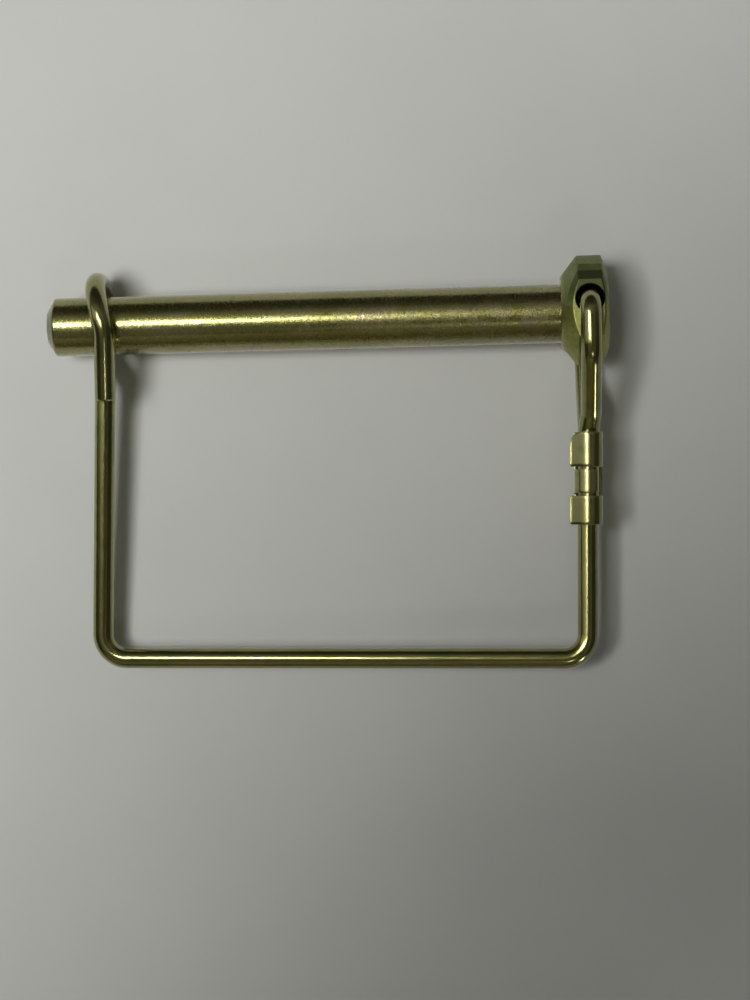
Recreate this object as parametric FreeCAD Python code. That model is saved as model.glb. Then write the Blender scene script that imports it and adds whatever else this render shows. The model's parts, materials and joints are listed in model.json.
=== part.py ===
import FreeCAD, Part
import math
import os

# Hitch pin lock: a forged pin with a bevelled head, a spring-wire bail that hangs from a
# cross hole in the head, and a stamped clip that crimps the wire's two strands together.
# Millimetres. X runs along the pin, the shoulder under the head is X = 0, the tip is at -X.
# The bail lies towards -Y. Z is the direction of the cross hole.

V = FreeCAD.Vector

# Pin
SHANK_R = 3.97
PIN_LENGTH = 69.85          # shoulder to tip
TIP_CHAMFER_X = 1.0
TIP_CHAMFER_R = 1.5
TIP_EDGE_ROUND = 0.3

# Forged head
HEAD_X = 6.4                # thickness along the pin
BAND_X0 = 2.3               # the full-width band runs from here
BAND_X1 = 5.5               # to here
HEAD_R = 7.55               # circle through the band's corners
FLAT_HALF_DEG = 30          # the drilled flats span this much each side of Z
FACET_DEG = 22              # the facets beside them span this much
HEAD_SIDE_Y = 7.35          # the forging's sides are pressed flat here
HEAD_RAISE = 0.3            # the head is forged this far off the shank's axis
SEAT_R = 4.6                # seat face under the head
OUTER_FACE_R = 5.4          # face at the pin's outer end
HEAD_EDGE_ROUND = 0.25

# Cross hole
HOLE_X = 3.8
HOLE_Y = 1.5
HOLE_R = 1.55
HOLE_SINK = 0.45

# Spring wire
WIRE_R = 1.4
MOUTH_BEND_R = 2.3
CORNER_BEND_R = 3.3
STRAND_GAP = 0.15           # strand to the drilled flat
CLOSED_Z = 1.45             # strand centre inside the clip
BAIL_TURN_DEG = 1.35        # the right leg hangs this far off square
BAR_TURN_DEG = 1.2          # and the bottom bar this far
BAR_DROP = 48.5             # hole axis to the bottom bar's centre line
BAIL_WIDTH = 66.7           # right leg to left leg, along the bottom bar
LEFT_CORNER_Z = -2.7        # the bar runs down to here at the left leg
LEG_TOP_X = -62.4           # where the left leg bends down into the snap eye
LEG_TOP_Y = -8.8
LEG_TOP_Z = 0.1
LEG_TOP_BEND_R = 2.2
EYE_R = 5.97                # centre-line radius of the snap eye round the shank
EYE_X = (-63.1, -62.7, -63.3, -61.5, -62.0)   # the eye winds sideways: under, behind, over, front, end
EYE_FRONT_BEND_R = 4.5      # last bend, where the wire leaves the shank's front
EYE_END_Y = -10.1
EYE_END_Z = 2.95            # the free end lies on the leg

# Where the latch leg starts to flex
FLEX_UP = 4.0               # distance above the lower left corner
FLEX_GAP = 0.1

# Crimp clip
CLIP_TOP = 17.7             # from the hole axis, down the leg
CLIP_LENGTH = 12.5
CLIP_INNER_R = 1.43
SHEET = 0.5
TAB_TURN_DEG = 35           # the fingers leave the wire this far past its front
TAB_REACH = 2.55            # and run straight to this far from the leg's line
FINGER_GAP = 0.35
FINGERS = (4.7, 3.2, 3.8)   # upper, middle and lower finger widths


def down_leg(distance, z, aside=0.0):
    """A point on the right leg's line, measured from the hole axis."""
    turn = math.radians(BAIL_TURN_DEG)
    x = HOLE_X - distance * math.sin(turn) + aside * math.cos(turn)
    y = HOLE_Y - distance * math.cos(turn) - aside * math.sin(turn)
    return V(x, y, z)


def lower_left_corner():
    """Where the bottom bar's line meets the left leg's line."""
    turn = math.radians(BAR_TURN_DEG)
    corner = down_leg(BAR_DROP, LEFT_CORNER_Z)
    return corner + V(-BAIL_WIDTH * math.cos(turn), BAIL_WIDTH * math.sin(turn), 0)


def leg_top():
    """Where the left leg's line meets the line that dives under the shank."""
    return V(LEG_TOP_X, LEG_TOP_Y, LEG_TOP_Z)


def left_leg_direction():
    """Unit vector up the left leg, from the corner towards the eye."""
    return (leg_top() - lower_left_corner()).normalize()


def flex_point():
    """Centre of the flexure at the foot of the latch leg."""
    return lower_left_corner() + left_leg_direction() * FLEX_UP


def bent_path(corners, radii):
    """Straight runs joined by tangent arcs, one bend radius for each inner corner."""
    edges = []
    start = corners[0]
    for i, radius in enumerate(radii, start=1):
        before = (corners[i - 1] - corners[i]).normalize()
        after = (corners[i + 1] - corners[i]).normalize()
        half = before.getAngle(after) / 2
        tangent = radius / math.tan(half)
        arc_in = corners[i] + before * tangent
        arc_out = corners[i] + after * tangent
        middle = (before + after).normalize()
        top = corners[i] + middle * (radius / math.sin(half) - radius)
        if (arc_in - start).dot(before) > 0:
            raise ValueError("two bends overlap on one run of the wire")
        if start.distanceToPoint(arc_in) > 0.001:
            edges.append(Part.LineSegment(start, arc_in).toShape())
        edges.append(Part.Arc(arc_in, top, arc_out).toShape())
        start = arc_out
    edges.append(Part.LineSegment(start, corners[-1]).toShape())
    return Part.Wire(edges)


def wire_along(corners, radii):
    """Round wire swept along a bent path."""
    path = bent_path(corners, radii)
    direction = (corners[1] - corners[0]).normalize()
    section = Part.Wire(Part.Circle(corners[0], direction, WIRE_R).toShape())
    return path.makePipeShell([section], True, False)


def flat_z():
    """Height of the drilled flats above the pin's axis."""
    return HEAD_R * math.cos(math.radians(FLAT_HALF_DEG))


def head_section():
    """Head seen along X: a wide flat and a facet on each side of Z, blunt at the sides."""
    corners = []
    for degrees in (FLAT_HALF_DEG, FLAT_HALF_DEG + FACET_DEG):
        angle = math.radians(degrees)
        corners.append((HEAD_R * math.sin(angle), HEAD_R * math.cos(angle)))
    corners.append((HEAD_SIDE_Y, 1.6))
    upper = [V(0, y, z) for y, z in corners]
    lower = [V(0, y, -z) for y, z in reversed(corners)]
    far = [V(0, -p.y, p.z) for p in reversed(upper + lower)]
    return upper + lower + far


def make_head():
    """Faceted band with a cone turned on both of its ends."""
    outline = head_section()
    band = Part.Face(Part.makePolygon(outline + [outline[0]])).extrude(V(HEAD_X, 0, 0))
    profile = [
        V(0, 0, 0),
        V(0, SEAT_R, 0),
        V(BAND_X0, HEAD_R, 0),
        V(BAND_X1, HEAD_R, 0),
        V(HEAD_X, OUTER_FACE_R, 0),
        V(HEAD_X, 0, 0),
    ]
    turned = Part.Face(Part.makePolygon(profile + [profile[0]])).revolve(V(0, 0, 0), V(1, 0, 0), 360)
    head = band.common(turned)
    head.translate(V(0, HEAD_RAISE, 0))
    edges = [e for e in head.Edges if e.BoundBox.XMax > 0.01]
    return head.makeFillet(HEAD_EDGE_ROUND, edges)


def make_shank():
    """Turned shank with a chamfered, slightly rounded tip."""
    profile = [
        V(2.0, 0, 0),
        V(2.0, SHANK_R, 0),
        V(-PIN_LENGTH + TIP_CHAMFER_X, SHANK_R, 0),
        V(-PIN_LENGTH, SHANK_R - TIP_CHAMFER_R, 0),
        V(-PIN_LENGTH, 0, 0),
    ]
    face = Part.Face(Part.makePolygon(profile + [profile[0]]))
    shank = face.revolve(V(0, 0, 0), V(1, 0, 0), 360)
    rims = [
        e for e in shank.Edges
        if e.Closed and e.BoundBox.XMax < -PIN_LENGTH + TIP_CHAMFER_X + 0.1
    ]
    return shank.makeFillet(TIP_EDGE_ROUND, rims)


def make_cross_hole():
    """Drilled hole with a countersink at each mouth."""
    hole = Part.makeCylinder(HOLE_R, 20, V(HOLE_X, HOLE_Y, -10), V(0, 0, 1))
    for side in (1, -1):
        mouth = V(HOLE_X, HOLE_Y, side * (flat_z() - HOLE_SINK))
        hole = hole.fuse(Part.makeCone(HOLE_R, HOLE_R + HOLE_SINK + 1, HOLE_SINK + 1, mouth, V(0, 0, side)))
    return hole


def make_pin():
    return make_shank().fuse(make_head()).cut(make_cross_hole()).removeSplitter()


def make_bail_wire():
    """One length of wire: clip, round through the head, back to the clip, leg, bar and corner."""
    beside = flat_z() + STRAND_GAP + WIRE_R
    corners = [
        down_leg(CLIP_TOP + CLIP_LENGTH - 1.5, CLOSED_Z),
        down_leg(CLIP_TOP - 0.5, CLOSED_Z),
        down_leg(CLIP_TOP - 2.4, CLOSED_Z + 0.95, 0.3),
        down_leg(7.0, beside, 0.15),
        down_leg(0, beside),
        down_leg(0, -beside),
        down_leg(7.0, -beside, -0.25),
        down_leg(CLIP_TOP - 0.9, -CLOSED_Z),
        down_leg(BAR_DROP, -CLOSED_Z),
        lower_left_corner(),
        flex_point(),
    ]
    radii = [2.0, 3.0, 5.0, MOUTH_BEND_R, MOUTH_BEND_R, 5.0, 3.0, CORNER_BEND_R, CORNER_BEND_R]
    wire = wire_along(corners, radii)
    socket = Part.makeSphere(WIRE_R + FLEX_GAP, flex_point())
    return wire.cut(socket)


def eye_corners():
    """(y, z) corners of the eye: under the shank, up behind it, over its front and back down."""
    entry = math.atan2(LEG_TOP_Z, LEG_TOP_Y) + math.acos(EYE_R / math.hypot(LEG_TOP_Y, LEG_TOP_Z))
    under = EYE_R * math.tan((1.5 * math.pi - entry) / 2)
    reach = math.hypot(EYE_END_Y, EYE_END_Z)
    leave = math.atan2(-EYE_END_Y, EYE_END_Z) - math.acos(EYE_R / reach)
    front = EYE_R * math.tan(leave / 2)
    return [(-under, -EYE_R), (EYE_R, -EYE_R), (EYE_R, EYE_R), (-front, EYE_R), (EYE_END_Y, EYE_END_Z)]


def make_latch_leg():
    """Left leg with the eye that snaps round the shank; ball-ended where it flexes."""
    foot = flex_point()
    corners = [foot, leg_top()] + [V(x, y, z) for x, (y, z) in zip(EYE_X, eye_corners())]
    eye = EYE_R - 0.05
    leg = wire_along(corners, [LEG_TOP_BEND_R, eye, eye, eye, EYE_FRONT_BEND_R])
    return leg.fuse(Part.makeSphere(WIRE_R, foot)).removeSplitter()


def obround(radius, y0, y1):
    """Solid round both stacked strands, between two distances along -Y."""
    box = Part.makeBox(2 * radius, y1 - y0, 2 * CLOSED_Z, V(-radius, -y1, -CLOSED_Z))
    solid = box
    for z in (CLOSED_Z, -CLOSED_Z):
        solid = solid.fuse(Part.makeCylinder(radius, y1 - y0, V(0, -y1, z), V(0, 1, 0)))
    return solid.removeSplitter()


def finger_spans():
    """Start and end of each finger along the clip."""
    spans = []
    start = 0.0
    for width in FINGERS:
        spans.append((start, start + width))
        start += width + FINGER_GAP
    return spans


def tab_foot(radius):
    """(x, z) where a finger leaves the circle of this radius round the front strand."""
    turn = math.radians(TAB_TURN_DEG)
    return -radius * math.sin(turn), CLOSED_Z + radius * math.cos(turn)


def open_side(y0, y1, side):
    """The seam a finger leaves open on the side its free edge faces."""
    outer = CLIP_INNER_R + SHEET
    if side < 0:
        x, z = tab_foot(outer)
        return Part.makeBox(outer, y1 - y0, z + 0.3, V(x - outer, -y1, -0.3))
    return Part.makeBox(1.6, y1 - y0, 2.6, V(0.95, -y1, 0.6))


def straight_tab(y0, y1):
    """The straight end of a finger that comes over from the right."""
    turn = math.radians(TAB_TURN_DEG)
    outline = []
    for radius in (CLIP_INNER_R, CLIP_INNER_R + SHEET):
        x, z = tab_foot(radius)
        run = (TAB_REACH + x) / math.cos(turn)
        foot = V(x, -y0, z)
        tip = V(x - run * math.cos(turn), -y0, z - run * math.sin(turn))
        outline.append((foot, tip))
    (inner_foot, inner_tip), (outer_foot, outer_tip) = outline
    face = Part.Face(Part.makePolygon([inner_foot, inner_tip, outer_tip, outer_foot, inner_foot]))
    return face.extrude(V(0, y0 - y1, 0))


def make_crimp_clip():
    """Stamped sheet round both strands; two fingers close from the right, one from the left."""
    shell = obround(CLIP_INNER_R + SHEET, 0, CLIP_LENGTH)
    spans = finger_spans()
    for (y0, y1), side in zip(spans, (-1, 1, -1)):
        shell = shell.cut(open_side(y0, y1, side))
    for (_, y1), (y2, _) in zip(spans, spans[1:]):
        shell = shell.cut(Part.makeBox(6, y2 - y1, 6, V(-3, -y2, -0.3)))
    for y0, y1 in (spans[0], spans[2]):
        shell = shell.fuse(straight_tab(y0, y1))
    shell = shell.cut(obround(CLIP_INNER_R, -1, CLIP_LENGTH + 1)).removeSplitter()
    shell.rotate(V(0, 0, 0), V(0, 0, 1), -BAIL_TURN_DEG)
    shell.translate(down_leg(CLIP_TOP, 0))
    return shell


def main():
    os.makedirs("parts", exist_ok=True)
    nodes = {
        "pin": make_pin(),
        "bail_wire": make_bail_wire(),
        "crimp_clip": make_crimp_clip(),
        "latch_leg": make_latch_leg(),
    }
    for name, shape in nodes.items():
        solid = shape.Solids[0]
        print(name, len(shape.Solids), "solid", round(solid.Volume, 2), "mm3", solid.isValid())
        solid.exportStep(f"parts/{name}.step")


main()
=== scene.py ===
import json
import math

import bmesh
import bpy
from mathutils import Matrix, Vector


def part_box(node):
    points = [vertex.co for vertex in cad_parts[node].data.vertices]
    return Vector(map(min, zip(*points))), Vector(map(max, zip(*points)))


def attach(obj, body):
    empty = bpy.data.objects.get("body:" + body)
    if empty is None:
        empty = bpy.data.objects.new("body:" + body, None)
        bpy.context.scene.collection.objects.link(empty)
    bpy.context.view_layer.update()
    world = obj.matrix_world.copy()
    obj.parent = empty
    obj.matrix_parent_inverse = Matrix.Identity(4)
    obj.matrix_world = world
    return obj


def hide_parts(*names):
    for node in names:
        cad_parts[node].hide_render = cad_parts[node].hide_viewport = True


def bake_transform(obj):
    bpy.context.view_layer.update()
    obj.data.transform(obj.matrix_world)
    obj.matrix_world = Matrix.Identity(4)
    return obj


# Hitch pin lock, seen from straight above on a pale table. The pin is the CAD node with a
# plated-steel material. The wire is one tube, cut in two beside the latch leg's corner, and its
# two parts replace the two wire nodes. The crimp clip is formed sheet that replaces the clip
# node. Metres, row frame.

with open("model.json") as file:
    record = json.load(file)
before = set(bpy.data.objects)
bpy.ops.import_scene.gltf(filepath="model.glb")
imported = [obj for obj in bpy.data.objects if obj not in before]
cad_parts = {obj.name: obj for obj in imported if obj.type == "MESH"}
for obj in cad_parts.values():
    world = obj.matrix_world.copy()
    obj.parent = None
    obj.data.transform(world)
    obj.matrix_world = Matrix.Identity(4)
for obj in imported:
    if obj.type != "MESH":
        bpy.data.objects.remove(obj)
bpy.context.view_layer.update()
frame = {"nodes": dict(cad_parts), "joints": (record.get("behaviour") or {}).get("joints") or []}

MM = 0.001
joints = {j["name"]: j for j in frame["joints"]}
hole = Vector(joints["bail_swing"]["pos_m"])
pin_low, pin_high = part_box("pin")
leg_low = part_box("latch_leg")[0]
wire_low, wire_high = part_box("bail_wire")

# Spring wire
WIRE_R = 1.4 * MM
BAIL_TURN = math.radians(1.35)
BAR_TURN = math.radians(1.2)
MOUTH_BEND_R = 2.3 * MM
CORNER_BEND_R = 3.3 * MM
CLOSED_Z = 1.45 * MM
BESIDE_Z = wire_high.z - WIRE_R
BAR_DROP = 48.5 * MM
BAIL_WIDTH = 66.7 * MM
LEFT_CORNER_Z = -2.7 * MM
LEG_TOP = Vector((-62.4, -8.8, 0.1)) * MM
LEG_TOP_BEND_R = 2.2 * MM
EYE_R = 5.97 * MM
EYE_X = [v * MM for v in (-63.1, -62.7, -63.3, -61.5, -62.0)]
EYE_FRONT_BEND_R = 4.5 * MM
EYE_END_Y = -10.1 * MM
EYE_END_Z = 2.95 * MM
RING_SIDES = 40
END_ROUNDING = 0.18 * MM
RING_STEP = 0.35 * MM
CUT_FROM_CORNER = 4.5 * MM

# Crimp clip
CLIP_TOP = 17.7 * MM
CLIP_LENGTH = 12.5 * MM
SHEET = 0.5 * MM
SHEET_R = 1.43 * MM + SHEET / 2
FINGERS = [v * MM for v in (4.7, 3.2, 3.8)]
FINGER_GAP = 0.35 * MM
TAB_TURN = math.radians(35)
TAB_REACH = 2.55 * MM
ROWS_PER_FINGER = 10
FINGER_STEPS = 36
BACK_STEPS = 44
FREE_EDGE = 0.7 * MM


def down_leg(distance, z, aside=0.0):
    """A point on the right leg's line, measured from the hole axis."""
    x = hole.x - distance * math.sin(BAIL_TURN) + aside * math.cos(BAIL_TURN)
    y = hole.y - distance * math.cos(BAIL_TURN) - aside * math.sin(BAIL_TURN)
    return Vector((x, y, z))


def lower_left_corner():
    corner = down_leg(BAR_DROP, LEFT_CORNER_Z)
    return corner + BAIL_WIDTH * Vector((-math.cos(BAR_TURN), math.sin(BAR_TURN), 0))


def eye_corners():
    """(y, z) corners of the eye: under the shank, up behind it, over its front and back down."""
    entry = math.atan2(LEG_TOP.z, LEG_TOP.y) + math.acos(EYE_R / math.hypot(LEG_TOP.y, LEG_TOP.z))
    under = EYE_R * math.tan((1.5 * math.pi - entry) / 2)
    reach = math.hypot(EYE_END_Y, EYE_END_Z)
    leave = math.atan2(-EYE_END_Y, EYE_END_Z) - math.acos(EYE_R / reach)
    front = EYE_R * math.tan(leave / 2)
    return [(-under, -EYE_R), (EYE_R, -EYE_R), (EYE_R, EYE_R), (-front, EYE_R), (EYE_END_Y, EYE_END_Z)]


def wire_corners():
    """Corners of the wire's path and the bend radius at each inner one."""
    corners = [
        down_leg(CLIP_TOP + CLIP_LENGTH - 1.5 * MM, CLOSED_Z),
        down_leg(CLIP_TOP - 0.5 * MM, CLOSED_Z),
        down_leg(CLIP_TOP - 2.4 * MM, CLOSED_Z + 0.95 * MM, 0.3 * MM),
        down_leg(7.0 * MM, BESIDE_Z, 0.15 * MM),
        down_leg(0, BESIDE_Z),
        down_leg(0, -BESIDE_Z),
        down_leg(7.0 * MM, -BESIDE_Z, -0.25 * MM),
        down_leg(CLIP_TOP - 0.9 * MM, -CLOSED_Z),
        down_leg(BAR_DROP, -CLOSED_Z),
        lower_left_corner(),
    ]
    corners.append(LEG_TOP)
    corners += [Vector((x, y, z)) for x, (y, z) in zip(EYE_X, eye_corners())]
    eye = EYE_R - 0.05 * MM
    radii = [2.0 * MM, 3.0 * MM, 5.0 * MM, MOUTH_BEND_R, MOUTH_BEND_R, 5.0 * MM, 3.0 * MM]
    radii += [CORNER_BEND_R, CORNER_BEND_R, LEG_TOP_BEND_R, eye, eye, eye, EYE_FRONT_BEND_R]
    return corners, radii


def path_points(corners, radii, step):
    """Points along straight runs joined by tangent arcs."""
    points = [corners[0]]

    def run_to(end):
        start = points[-1]
        count = max(1, round((end - start).length / step))
        points.extend(start.lerp(end, i / count) for i in range(1, count + 1))

    for i, radius in enumerate(radii, start=1):
        before = (corners[i - 1] - corners[i]).normalized()
        after = (corners[i + 1] - corners[i]).normalized()
        half = before.angle(after) / 2
        tangent = radius / math.tan(half)
        middle = corners[i] + (before + after).normalized() * radius / math.sin(half)
        arc_in = corners[i] + before * tangent
        arc_out = corners[i] + after * tangent
        if (arc_in - points[-1]).length > step / 8:
            run_to(arc_in)
        spoke = arc_in - middle
        axis = spoke.cross(arc_out - middle).normalized()
        sweep = math.pi - 2 * half
        count = max(2, round(radius * sweep / (step / 2)))
        points.extend(
            middle + Matrix.Rotation(sweep * k / count, 3, axis) @ spoke for k in range(1, count + 1)
        )
    run_to(corners[-1])
    return points


def tube(name, points, radius, sides, rounding):
    """Round tube with softly rounded cut ends; the UV map holds distance along and turn around."""
    mesh = bmesh.new()
    uv = mesh.loops.layers.uv.new("wire")
    side = Vector((0, 0, 1))
    rings = []
    lengths = []
    travelled = 0.0
    for i, point in enumerate(points):
        before = points[max(0, i - 1)]
        after = points[min(len(points) - 1, i + 1)]
        along = (after - before).normalized()
        if i == 0 and abs(side.dot(along)) > 0.9:
            side = Vector((1, 0, 0))
        side = (side - side.dot(along) * along).normalized()
        other = along.cross(side)
        travelled += (point - before).length if i else 0.0
        places = [(point, radius)]
        if i == 0:
            places = [(point, radius - rounding), (point + along * rounding, radius)]
        if i == len(points) - 1:
            places = [(point - along * rounding, radius), (point, radius - rounding)]
        for centre, size in places:
            ring = []
            for k in range(sides):
                turn = 2 * math.pi * k / sides
                spoke = math.cos(turn) * side + math.sin(turn) * other
                ring.append(mesh.verts.new(centre + size * spoke))
            rings.append(ring)
            lengths.append(travelled + (centre - point).length)
    for r in range(len(rings) - 1):
        for k in range(sides):
            n = (k + 1) % sides
            face = mesh.faces.new((rings[r][k], rings[r][n], rings[r + 1][n], rings[r + 1][k]))
            face.smooth = True
            near, far = lengths[r], lengths[r + 1]
            corners = ((near, k), (near, k + 1), (far, k + 1), (far, k))
            for loop, (length, turn) in zip(face.loops, corners):
                loop[uv].uv = (length, turn / sides)
    mesh.faces.new(reversed(rings[0]))
    mesh.faces.new(rings[-1])
    mesh.normal_update()
    data = bpy.data.meshes.new(name)
    mesh.to_mesh(data)
    mesh.free()
    obj = bpy.data.objects.new(name, data)
    bpy.context.collection.objects.link(obj)
    return obj


def cut_from(whole, name, first, last):
    """Some of a tube's rings as a tube of their own, closed by a flat cap where it is cut."""
    mesh = bmesh.new()
    mesh.from_mesh(whole.data)
    kept = range(first * RING_SIDES, (last + 1) * RING_SIDES)
    bmesh.ops.delete(mesh, geom=[v for v in mesh.verts if v.index not in kept], context="VERTS")
    open_edges = [edge for edge in mesh.edges if edge.is_boundary]
    for cap in bmesh.ops.edgeloop_fill(mesh, edges=open_edges)["faces"]:
        cap.smooth = False
    bmesh.ops.recalc_face_normals(mesh, faces=mesh.faces)
    # The cap keeps its own points, so that it doesn't tilt the tube's shading beside the cut
    bmesh.ops.split_edges(mesh, edges=open_edges)
    data = bpy.data.meshes.new(name)
    mesh.to_mesh(data)
    mesh.free()
    obj = bpy.data.objects.new(name, data)
    bpy.context.collection.objects.link(obj)
    return obj


def wrap_point(travel):
    """(x, z) on the sheet's section; travel is measured from the right side's seam line.

    Positive goes up the right side and over the front, negative goes round the back.
    """
    side = 1 if travel >= 0 else -1
    far = abs(travel)
    if far <= CLOSED_Z:
        return SHEET_R, side * far
    turn = (far - CLOSED_Z) / SHEET_R
    if turn <= math.pi:
        return SHEET_R * math.cos(turn), side * (CLOSED_Z + SHEET_R * math.sin(turn))
    return -SHEET_R, side * (CLOSED_Z - (far - CLOSED_Z - math.pi * SHEET_R))


def finger_point(travel):
    """(x, z) on a finger that leaves the wire past its front and runs on straight."""
    if travel <= FINGER_LEAVES:
        return wrap_point(travel)
    x, z = wrap_point(FINGER_LEAVES)
    run = travel - FINGER_LEAVES
    return x - run * math.cos(TAB_TURN), z - run * math.sin(TAB_TURN)


AROUND_BACK = 2 * CLOSED_Z + math.pi * SHEET_R
FINGER_LEAVES = CLOSED_Z + SHEET_R * (math.pi / 2 + TAB_TURN)
FINGER_RUN = FINGER_LEAVES + (TAB_REACH - SHEET_R * math.sin(TAB_TURN)) / math.cos(TAB_TURN)


def clip_rows():
    """Lines across the clip, grouped by finger and by the slots between the fingers."""
    groups = []
    start = 0.0
    for width in FINGERS:
        groups.append([start + width * k / ROWS_PER_FINGER for k in range(ROWS_PER_FINGER + 1)])
        start += width + FINGER_GAP
    first = groups[-1][0]
    run = CLIP_LENGTH - first
    groups[-1] = [first + run * k / ROWS_PER_FINGER for k in range(ROWS_PER_FINGER + 1)]
    return groups


def clip_vertex(mesh, x, y, z):
    """A vertex from the clip's own axes: y down the leg from the clip's top."""
    return mesh.verts.new(down_leg(CLIP_TOP + y, z, x))


def corner_cut(left, corner):
    """How far a rounded corner has drawn in, this far from the free edge."""
    if left >= corner:
        return 0.0
    return corner - math.sqrt(max(0.0, corner**2 - (corner - left) ** 2))


def finger(mesh, rows, from_right, reach, top_corner, low_corner, rise):
    """One finger: a strip over the front with rounded corners, its free edge bent up a little."""
    length = rows[-1] - rows[0]
    grid = []
    for i in range(FINGER_STEPS + 1):
        travel = reach * i / FINGER_STEPS
        x, z = finger_point(travel) if from_right else wrap_point(travel)
        left = reach - travel
        start = rows[0] + corner_cut(left, top_corner)
        end = rows[-1] - corner_cut(left, low_corner)
        if left < FREE_EDGE:
            z += rise * (1 - left / FREE_EDGE) ** 2
        if not from_right:
            x = -x
        places = [start + (row - rows[0]) / length * (end - start) for row in rows]
        grid.append([clip_vertex(mesh, x, y, z) for y in places])
    return grid


def skin(mesh, grid, flip):
    for a, b in zip(grid, grid[1:]):
        for k in range(len(a) - 1):
            quad = (a[k], a[k + 1], b[k + 1], b[k])
            face = mesh.faces.new(tuple(reversed(quad)) if flip else quad)
            face.smooth = True


def make_clip():
    """Stamped sheet: a back that holds both strands and three fingers folded over the front."""
    mesh = bmesh.new()
    groups = clip_rows()
    rows = [row for group in groups for row in group]
    back = []
    for i in range(BACK_STEPS + 1):
        x, z = wrap_point(-AROUND_BACK * i / BACK_STEPS)
        back.append([clip_vertex(mesh, x, row, z) for row in rows])
    skin(mesh, back, True)
    upper, middle, lower = groups
    skin(mesh, finger(mesh, upper, True, FINGER_RUN, 2.0 * MM, 0.3 * MM, 0.2 * MM), False)
    skin(mesh, finger(mesh, lower, True, FINGER_RUN, 0.4 * MM, 0.3 * MM, 0.2 * MM), False)
    across = CLOSED_Z + SHEET_R * math.radians(128)
    skin(mesh, finger(mesh, middle, False, across, 0.6 * MM, 0.6 * MM, 0.1 * MM), True)
    bmesh.ops.remove_doubles(mesh, verts=mesh.verts, dist=0.02 * MM)
    data = bpy.data.meshes.new("crimp_clip_sheet")
    mesh.to_mesh(data)
    mesh.free()
    obj = bpy.data.objects.new("crimp_clip_sheet", data)
    bpy.context.collection.objects.link(obj)
    thick = obj.modifiers.new("sheet", "SOLIDIFY")
    thick.thickness = SHEET
    thick.offset = 0.0
    thick.use_even_offset = True
    edge = obj.modifiers.new("edges", "BEVEL")
    edge.width = 0.1 * MM
    edge.segments = 2
    edge.limit_method = "ANGLE"
    edge.angle_limit = math.radians(50)
    return obj


# ---------------------------------------------------------------- materials

class Nodes:
    """Short hand for building a node tree."""

    def __init__(self, tree):
        self.tree = tree
        tree.nodes.clear()

    def add(self, kind, **values):
        node = self.tree.nodes.new(kind)
        for key, value in values.items():
            if key in node.inputs:
                node.inputs[key].default_value = value
            else:
                setattr(node, key, value)
        return node

    def link(self, source, target):
        self.tree.links.new(source, target)

    def noise(self, vector, scale, detail=4.0, rough=0.55):
        node = self.add("ShaderNodeTexNoise")
        node.inputs["Scale"].default_value = scale
        node.inputs["Detail"].default_value = detail
        node.inputs["Roughness"].default_value = rough
        self.link(vector, node.inputs["Vector"])
        return node.outputs["Fac"]

    def ramp(self, fac, stops):
        node = self.add("ShaderNodeValToRGB")
        ramp = node.color_ramp
        ramp.elements[0].position, ramp.elements[0].color = stops[0][0], (*stops[0][1], 1)
        ramp.elements[1].position, ramp.elements[1].color = stops[-1][0], (*stops[-1][1], 1)
        for position, colour in stops[1:-1]:
            ramp.elements.new(position).color = (*colour, 1)
        self.link(fac, node.inputs["Fac"])
        return node.outputs["Color"]

    def spread(self, fac, low, high, to_low, to_high):
        node = self.add("ShaderNodeMapRange")
        limits = {"From Min": low, "From Max": high, "To Min": to_low, "To Max": to_high}
        for key, value in limits.items():
            node.inputs[key].default_value = value
        self.link(fac, node.inputs["Value"])
        return node.outputs["Result"]

    def mix(self, fac, a, b, blend="MIX"):
        node = self.add("ShaderNodeMix", data_type="RGBA", blend_type=blend)
        for socket, value in ((node.inputs[0], fac), (node.inputs[6], a), (node.inputs[7], b)):
            if isinstance(value, bpy.types.NodeSocket):
                self.link(value, socket)
            elif isinstance(value, tuple):
                socket.default_value = (*value, 1)
            else:
                socket.default_value = value
        return node.outputs[2]

    def math(self, operation, a, b=0.0):
        node = self.add("ShaderNodeMath", operation=operation)
        for socket, value in zip(node.inputs, (a, b)):
            if isinstance(value, bpy.types.NodeSocket):
                self.link(value, socket)
            else:
                socket.default_value = value
        return node.outputs[0]

    def stretched(self, vector, scale):
        node = self.add("ShaderNodeMapping")
        node.inputs["Scale"].default_value = scale
        self.link(vector, node.inputs["Vector"])
        return node.outputs["Vector"]

    def round_wire(self, uv, along, around):
        """Noise place that follows the wire and closes on itself around it."""
        split = self.add("ShaderNodeSeparateXYZ")
        self.link(uv, split.inputs["Vector"])
        turn = self.math("MULTIPLY", split.outputs["Y"], 2 * math.pi)
        place = self.add("ShaderNodeCombineXYZ")
        self.link(self.math("MULTIPLY", split.outputs["X"], along), place.inputs["X"])
        self.link(self.math("MULTIPLY", self.math("COSINE", turn), around), place.inputs["Y"])
        self.link(self.math("MULTIPLY", self.math("SINE", turn), around), place.inputs["Z"])
        return place.outputs["Vector"]

    def bump(self, height, distance, strength, normal=None):
        node = self.add("ShaderNodeBump")
        node.inputs["Distance"].default_value = distance
        node.inputs["Strength"].default_value = strength
        self.link(height, node.inputs["Height"])
        if normal is not None:
            self.link(normal, node.inputs["Normal"])
        return node.outputs["Normal"]


FILM_ROUGH = 0.09
OLIVE = (0.30, 0.285, 0.080)
GREEN = (0.25, 0.270, 0.085)
STRAW = (0.36, 0.340, 0.130)
BLUSH = (0.36, 0.305, 0.165)


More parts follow.
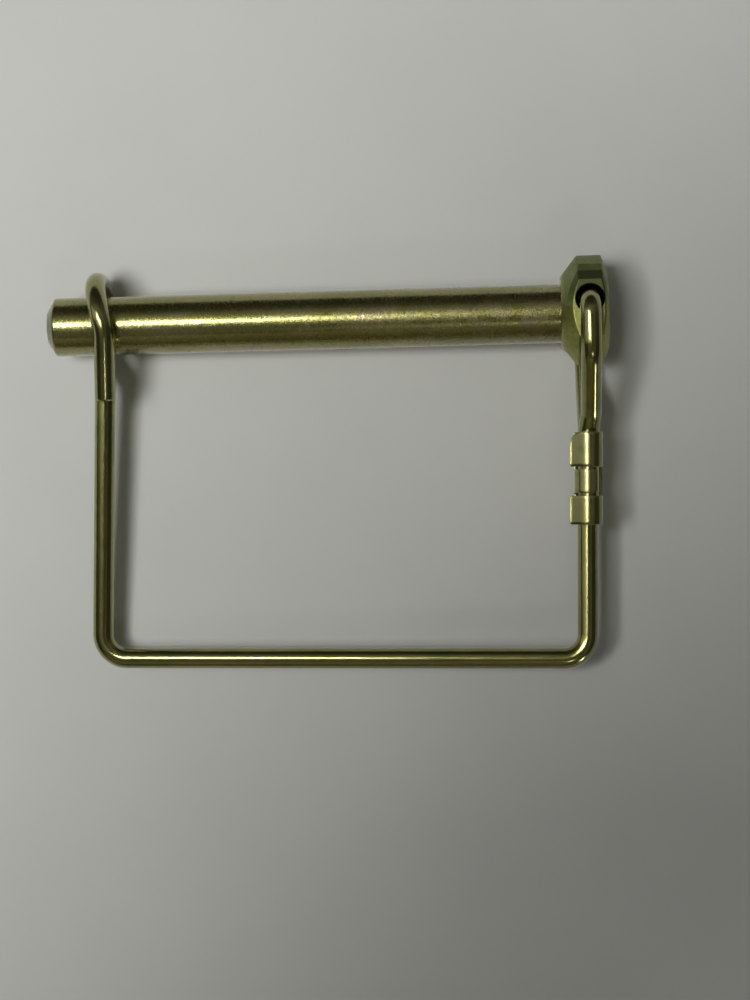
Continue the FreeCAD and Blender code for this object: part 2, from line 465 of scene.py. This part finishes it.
def plated_wire():
    """Chromated spring wire: fine draw lines along it, a drifting yellow-green tint."""
    material = bpy.data.materials.new("plated_wire")
    material.use_nodes = True
    n = Nodes(material.node_tree)
    uv = n.add("ShaderNodeUVMap", uv_map="wire").outputs["UV"]
    place = n.add("ShaderNodeTexCoord").outputs["Object"]
    drift = n.noise(place, 160, 3)
    tint = n.ramp(drift, [(0.3, OLIVE), (0.5, STRAW), (0.62, GREEN), (0.75, BLUSH)])
    fine = n.noise(place, 2000, 4)
    colour = n.mix(n.spread(fine, 0.35, 0.7, 0.0, 0.35), tint, (0.16, 0.15, 0.035))
    lines = n.noise(n.round_wire(uv, 160, 9), 1.0, 3)
    bsdf = n.add("ShaderNodeBsdfPrincipled", Metallic=1.0)
    bsdf.inputs["Coat Weight"].default_value = 1.0
    bsdf.inputs["Coat Roughness"].default_value = FILM_ROUGH
    n.link(colour, bsdf.inputs["Base Color"])
    n.link(n.spread(fine, 0.3, 0.75, 0.13, 0.24), bsdf.inputs["Roughness"])
    first = n.bump(lines, 0.01 * MM, 0.5)
    n.link(n.bump(fine, 0.015 * MM, 0.5, first), bsdf.inputs["Normal"])
    n.link(bsdf.outputs["BSDF"], n.add("ShaderNodeOutputMaterial").inputs["Surface"])
    return material


def plated_sheet():
    """Chromated sheet: smooth and bright, with rolling lines and a painted highlight along its sharp
    edges.
    """
    material = bpy.data.materials.new("plated_sheet")
    material.use_nodes = True
    n = Nodes(material.node_tree)
    place = n.add("ShaderNodeTexCoord").outputs["Object"]
    drift = n.noise(place, 300, 3)
    tint = n.ramp(drift, [(0.3, OLIVE), (0.55, STRAW), (0.7, GREEN)])
    fine = n.noise(place, 3500, 2)
    # Painted highlight: sharp edges and corners, found by pointiness, are made lighter
    edge = n.add("ShaderNodeNewGeometry").outputs["Pointiness"]
    colour = n.mix(n.spread(edge, 0.52, 0.6, 0.0, 0.7), tint, (0.55, 0.53, 0.33))
    bsdf = n.add("ShaderNodeBsdfPrincipled", Metallic=1.0)
    bsdf.inputs["Coat Weight"].default_value = 1.0
    bsdf.inputs["Coat Roughness"].default_value = FILM_ROUGH
    n.link(colour, bsdf.inputs["Base Color"])
    n.link(n.spread(fine, 0.3, 0.7, 0.19, 0.26), bsdf.inputs["Roughness"])
    n.link(n.bump(n.noise(place, 700, 2), 0.015 * MM, 0.3), bsdf.inputs["Normal"])
    n.link(bsdf.outputs["BSDF"], n.add("ShaderNodeOutputMaterial").inputs["Surface"])
    return material


def plated_pin():
    """Chromated pin: a grainy turned shank, blotched towards the head, and a matt forged head."""
    material = bpy.data.materials.new("plated_pin")
    material.use_nodes = True
    n = Nodes(material.node_tree)
    bsdf = n.add("ShaderNodeBsdfPrincipled", Metallic=1.0)
    bsdf.inputs["Coat Roughness"].default_value = FILM_ROUGH
    place = n.add("ShaderNodeTexCoord").outputs["Object"]
    axis = n.add("ShaderNodeSeparateXYZ")
    n.link(place, axis.inputs["Vector"])
    along = axis.outputs["X"]
    on_head = n.spread(along, -0.1 * MM, 0.5 * MM, 0.0, 1.0)
    near_head = n.spread(along, pin_low.x * 0.55, 0.0, 0.0, 1.0)
    drift = n.noise(n.stretched(place, (0.5, 1, 1)), 210, 4, 0.6)
    tint = n.ramp(drift, [(0.28, GREEN), (0.45, OLIVE), (0.58, STRAW), (0.72, BLUSH)])
    blotch = n.noise(n.stretched(place, (0.6, 1, 1)), 700, 5, 0.7)
    amount = n.spread(near_head, 0.0, 1.0, 0.1, 0.75)
    patch = n.math("MULTIPLY", n.spread(blotch, 0.42, 0.62, 0.0, 1.0), amount)
    stains_and_tip_shade = n.mix(patch, tint, (0.30, 0.25, 0.17))
    forged_and_painted_reflection = n.ramp(
        n.noise(place, 420, 4),
        [(0.3, (0.17, 0.21, 0.07)), (0.55, (0.24, 0.27, 0.10)), (0.75, (0.30, 0.31, 0.14))],
    )
    # Colour set by place: yellower low on the head, and a painted dark reflection on the flat above the
    # hole
    lower = n.math("MULTIPLY", n.spread(axis.outputs["Y"], 2.0 * MM, -3.0 * MM, 0.0, 1.0), 0.7)
    forged_and_painted_reflection = n.mix(lower, forged_and_painted_reflection, (0.38, 0.365, 0.09))
    above_hole = n.spread(axis.outputs["Y"], hole.y - 0.8 * MM, hole.y + 1.2 * MM, 0.0, 0.75)
    on_flat = n.spread(axis.outputs["Z"], pin_high.z * 0.83, pin_high.z * 0.85, 0.0, 1.0)
    # Painted reflection: the flat above the hole is made near black, as if it mirrored something dark
    # overhead
    forged_and_painted_reflection = n.mix(n.math("MULTIPLY", above_hole, on_flat), forged_and_painted_reflection, (0.06, 0.065, 0.03))
    # Painted shade: the chamfer at the tip is made darker
    at_tip = n.spread(along, pin_low.x + 1.15 * MM, pin_low.x + 0.9 * MM, 0.0, 0.6)
    stains_and_tip_shade = n.mix(at_tip, stains_and_tip_shade, (0.10, 0.10, 0.05))
    colour = n.mix(on_head, stains_and_tip_shade, forged_and_painted_reflection)
    grain = n.noise(place, 2600, 4, 0.65)
    colour = n.mix(n.spread(grain, 0.5, 0.75, 0.0, 0.45), colour, (0.12, 0.11, 0.03))
    # Painted shade: a near black ring round the hole's countersunk mouth, where shadow falls
    from_x = n.math("SUBTRACT", along, hole.x)
    from_y = n.math("SUBTRACT", axis.outputs["Y"], hole.y)
    squares = (n.math("MULTIPLY", from_x, from_x), n.math("MULTIPLY", from_y, from_y))
    reach = n.math("SQRT", n.math("ADD", *squares))
    mouth = n.spread(reach, 1.85 * MM, 2.1 * MM, 1.0, 0.0)
    colour = n.mix(mouth, colour, (0.015, 0.014, 0.008))
    n.link(n.math("SUBTRACT", 1.0, on_head), bsdf.inputs["Coat Weight"])
    shank_rough = n.math("ADD", n.spread(grain, 0.3, 0.75, 0.16, 0.34), n.math("MULTIPLY", patch, 0.14))
    rough = n.math("ADD", shank_rough, n.math("MULTIPLY", on_head, 0.16))
    n.link(colour, bsdf.inputs["Base Color"])
    n.link(rough, bsdf.inputs["Roughness"])
    lines = n.noise(n.stretched(place, (60, 2600, 2600)), 1.0, 2)
    first = n.bump(lines, 0.01 * MM, 0.4)
    second = n.bump(grain, 0.02 * MM, 0.6, first)
    n.link(n.bump(n.noise(place, 500, 4), 0.05 * MM, 0.25, second), bsdf.inputs["Normal"])
    n.link(bsdf.outputs["BSDF"], n.add("ShaderNodeOutputMaterial").inputs["Surface"])
    return material


def table_top():
    material = bpy.data.materials.new("table")
    material.use_nodes = True
    n = Nodes(material.node_tree)
    place = n.add("ShaderNodeTexCoord").outputs["Object"]
    mottle = n.noise(place, 60, 5)
    base = n.ramp(mottle, [(0.3, (0.77, 0.78, 0.755)), (0.7, (0.83, 0.84, 0.81))])
    bsdf = n.add("ShaderNodeBsdfPrincipled", Roughness=0.55)
    n.link(base, bsdf.inputs["Base Color"])
    n.link(n.bump(n.noise(place, 1400, 4), 0.03 * MM, 0.2), bsdf.inputs["Normal"])
    n.link(bsdf.outputs["BSDF"], n.add("ShaderNodeOutputMaterial").inputs["Surface"])
    return material


# ---------------------------------------------------------------- the object

# One wire, cut on the bar beside the latch leg's corner into a bail part and a latch leg part
corners, radii = wire_corners()
path = path_points(corners, radii, RING_STEP)
whole_wire = tube("whole_wire", path, WIRE_R, RING_SIDES, END_ROUNDING)
left_corner = lower_left_corner()
along_bar = (down_leg(BAR_DROP, -CLOSED_Z) - left_corner).normalized()
cut_place = left_corner + along_bar * CUT_FROM_CORNER
cut_ring = min(range(len(path)), key=lambda i: (path[i] - cut_place).length) + 1
last_ring = len(path) + 1
bail = cut_from(whole_wire, "bail_wire_tube", 0, cut_ring)
leg = cut_from(whole_wire, "latch_leg_tube", cut_ring, last_ring)
bpy.data.objects.remove(whole_wire)
wire_material = plated_wire()
for piece, node in ((bail, "bail_wire"), (leg, "latch_leg")):
    piece.data.materials.append(wire_material)
    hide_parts(node)
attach(bail, "bail")
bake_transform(leg)

clip = make_clip()
clip.data.materials.append(plated_sheet())
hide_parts("crimp_clip")
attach(clip, "bail")

pin = frame["nodes"]["pin"]
pin_material = plated_pin()
for slot in pin.material_slots:
    slot.material = pin_material

# ---------------------------------------------------------------- table, light and camera

FLOOR_HALF = 3.0
contact_right = Vector((hole.x, 0, wire_low.z))
contact_left = Vector((LEG_TOP.x, 0, leg_low.z))
tilt = math.atan2(contact_left.z - contact_right.z, contact_right.x - contact_left.x)

floor_mesh = bpy.data.meshes.new("table")
floor_mesh.from_pydata(
    [(x, y, 0) for x, y in ((-1, -1), (1, -1), (1, 1), (-1, 1))], [], [(0, 1, 2, 3)]
)
floor = bpy.data.objects.new("table", floor_mesh)
floor.scale = (FLOOR_HALF, FLOOR_HALF, 1)
floor.location = contact_right
floor.rotation_euler = (0, tilt, 0)
bpy.context.collection.objects.link(floor)
floor_mesh.materials.append(table_top())


def panel(name, lean_x, lean_y, distance, width, height, glow, colour):
    """A soft square light, placed by its lean from straight above; glow is its brightness."""
    light = bpy.data.lights.new(name, "AREA")
    light.shape = "RECTANGLE"
    light.size = width
    light.size_y = height
    light.energy = glow * math.pi * width * height
    light.color = colour
    obj = bpy.data.objects.new(name, light)
    centre = Vector((-0.03, -0.02, 0))
    lean = (math.tan(math.radians(lean_x)), math.tan(math.radians(lean_y)), 1)
    direction = Vector(lean).normalized()
    obj.location = centre + direction * distance
    obj.rotation_mode = "QUATERNION"
    obj.rotation_quaternion = direction.to_track_quat("Z", "Y")
    bpy.context.collection.objects.link(obj)
    return obj


LAMP_WHITE = (1.0, 1.0, 0.97)
# The main lamp makes the shadows; the other panels show only as gleams in the metal
main_lamp = panel("main_lamp", -15, -2, 1.1, 0.30, 0.34, 22.0, LAMP_WHITE)
main_lamp.visible_glossy = False
panel("far_lamp", 10, -36, 1.2, 0.06, 0.06, 24.0, LAMP_WHITE)
gleams = (
    panel("ceiling", -17.5, 8.5, 1.1, 0.26, 0.54, 9.5, LAMP_WHITE),
    panel("window", -45, 12, 1.2, 0.55, 1.30, 0.42, LAMP_WHITE),
    panel("side_lamp", 70, -76, 1.2, 0.12, 0.12, 16.0, LAMP_WHITE),
    panel("room_light", 0, 0, 1.3, 2.4, 2.4, 0.07, LAMP_WHITE),
)
for gleam in gleams:
    gleam.visible_diffuse = False

card_matt = bpy.data.materials.new("card")
card_matt.use_nodes = True
card_matt.node_tree.nodes["Principled BSDF"].inputs["Base Color"].default_value = (0.22, 0.19, 0.09, 1)


def card(name, corners):
    """A studio card that shades the table or shows as a dark patch in the metal, never in view."""
    mesh = bpy.data.meshes.new(name)
    mesh.from_pydata(corners, [], [(0, 1, 2, 3)])
    mesh.materials.append(card_matt)
    obj = bpy.data.objects.new(name, mesh)
    bpy.context.collection.objects.link(obj)
    obj.visible_camera = False
    return obj


CARD_Z = 0.345
shade_corners = ((-0.245, -0.25), (-0.146, -0.25), (-0.004, -0.014), (-0.103, -0.014))
shade = card("shade", [(x, y, CARD_Z) for x, y in shade_corners])
shade.visible_glossy = False
# The shade is there for the table alone, so it doesn't stand between the gleams and the metal
no_shade = bpy.data.collections.new("no_shade")
no_shade.objects.link(shade)
no_shade.collection_objects[0].light_linking.link_state = "EXCLUDE"
for gleam in gleams:
    gleam.light_linking.blocker_collection = no_shade
dark_corners = ((-0.055, -0.21), (0.14, -0.21), (0.14, 0.045), (-0.055, 0.045))
dark = card("dark", [(x, y, CARD_Z) for x, y in dark_corners])
dark.visible_shadow = False
dark.visible_diffuse = False
front = card(
    "front", [(-0.5, -0.34, 0.0), (0.15, -0.34, 0.0), (0.15, -0.40, 0.36), (-0.5, -0.40, 0.36)]
)
front.visible_shadow = False
front.visible_diffuse = False

world = bpy.data.worlds.new("room")
bpy.context.scene.world = world
world.use_nodes = True
w = Nodes(world.node_tree)
sky = w.add("ShaderNodeSeparateXYZ")
w.link(w.add("ShaderNodeTexCoord").outputs["Generated"], sky.inputs["Vector"])
glow = w.ramp(
    w.spread(sky.outputs["Y"], -0.9, 0.9, 0.0, 1.0),
    [
        (0.0, (0.035, 0.035, 0.028)),
        (0.5, (0.04, 0.04, 0.033)),
        (0.75, (0.11, 0.11, 0.097)),
        (1.0, (0.03, 0.03, 0.024)),
    ],
)
background = w.add("ShaderNodeBackground", Strength=1.0)
w.link(glow, background.inputs["Color"])
w.link(background.outputs["Background"], w.add("ShaderNodeOutputWorld").inputs["Surface"])
bpy.context.scene.view_settings.view_transform = "Standard"

camera_data = bpy.data.cameras.new("camera")
camera_data.sensor_width = 36
camera_data.lens = 88.1
camera_data.clip_start = 0.01
camera = bpy.data.objects.new("camera", camera_data)
camera.location = (-10.44 * MM, -24.42 * MM, 333.1 * MM)
camera.rotation_euler = (math.radians(-0.11), math.radians(2.64), math.radians(-1.40))
bpy.context.collection.objects.link(camera)
bpy.context.scene.camera = camera
